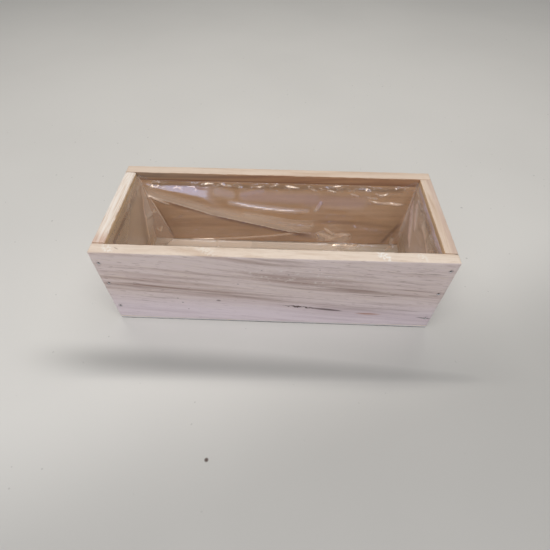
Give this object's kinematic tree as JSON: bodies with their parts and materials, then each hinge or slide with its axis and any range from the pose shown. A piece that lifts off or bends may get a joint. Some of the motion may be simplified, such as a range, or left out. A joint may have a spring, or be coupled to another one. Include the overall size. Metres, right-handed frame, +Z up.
{
  "type": "soap loaf mould",
  "caption": "Open-topped rectangular wooden box of thin nailed boards with a clear plastic film liner inside, for casting a loaf of soap.",
  "frame": {"origin": "middle of the footprint, on the underside of the bottom panel", "axes": "+Z up out of the open top, +X along the box's length, -Y towards the front board"},
  "size_m": [0.28, 0.112, 0.088],
  "materials": {
    "wood": "matte",
    "bottom_wood": "matte",
    "nail_steel": "satin",
    "clear_film": "gloss",
    "glue": "satin"
  },
  "bodies": {
    "root": {"front_board": "wood", "back_board": "wood", "left_end_board": "wood", "right_end_board": "wood", "bottom_panel": "bottom_wood", "wall_nail_front_left_1": "nail_steel", "wall_nail_front_left_2": "nail_steel", "wall_nail_front_left_3": "nail_steel", "wall_nail_front_right_1": "nail_steel", "wall_nail_front_right_2": "nail_steel", "wall_nail_front_right_3": "nail_steel", "wall_nail_back_left_1": "nail_steel", "wall_nail_back_left_2": "nail_steel", "wall_nail_back_left_3": "nail_steel", "wall_nail_back_right_1": "nail_steel", "wall_nail_back_right_2": "nail_steel", "wall_nail_back_right_3": "nail_steel", "panel_nail_front_1": "nail_steel", "panel_nail_front_2": "nail_steel", "panel_nail_front_3": "nail_steel", "panel_nail_front_4": "nail_steel", "panel_nail_back_1": "nail_steel", "panel_nail_back_2": "nail_steel", "panel_nail_back_3": "nail_steel", "panel_nail_back_4": "nail_steel", "panel_nail_left_1": "nail_steel", "panel_nail_left_2": "nail_steel", "panel_nail_right_1": "nail_steel", "panel_nail_right_2": "nail_steel", "film_liner": "clear_film", "glue_bead_front": "glue", "glue_bead_right": "glue", "glue_bead_back": "glue", "glue_bead_left": "glue"}
  },
  "joints": []
}
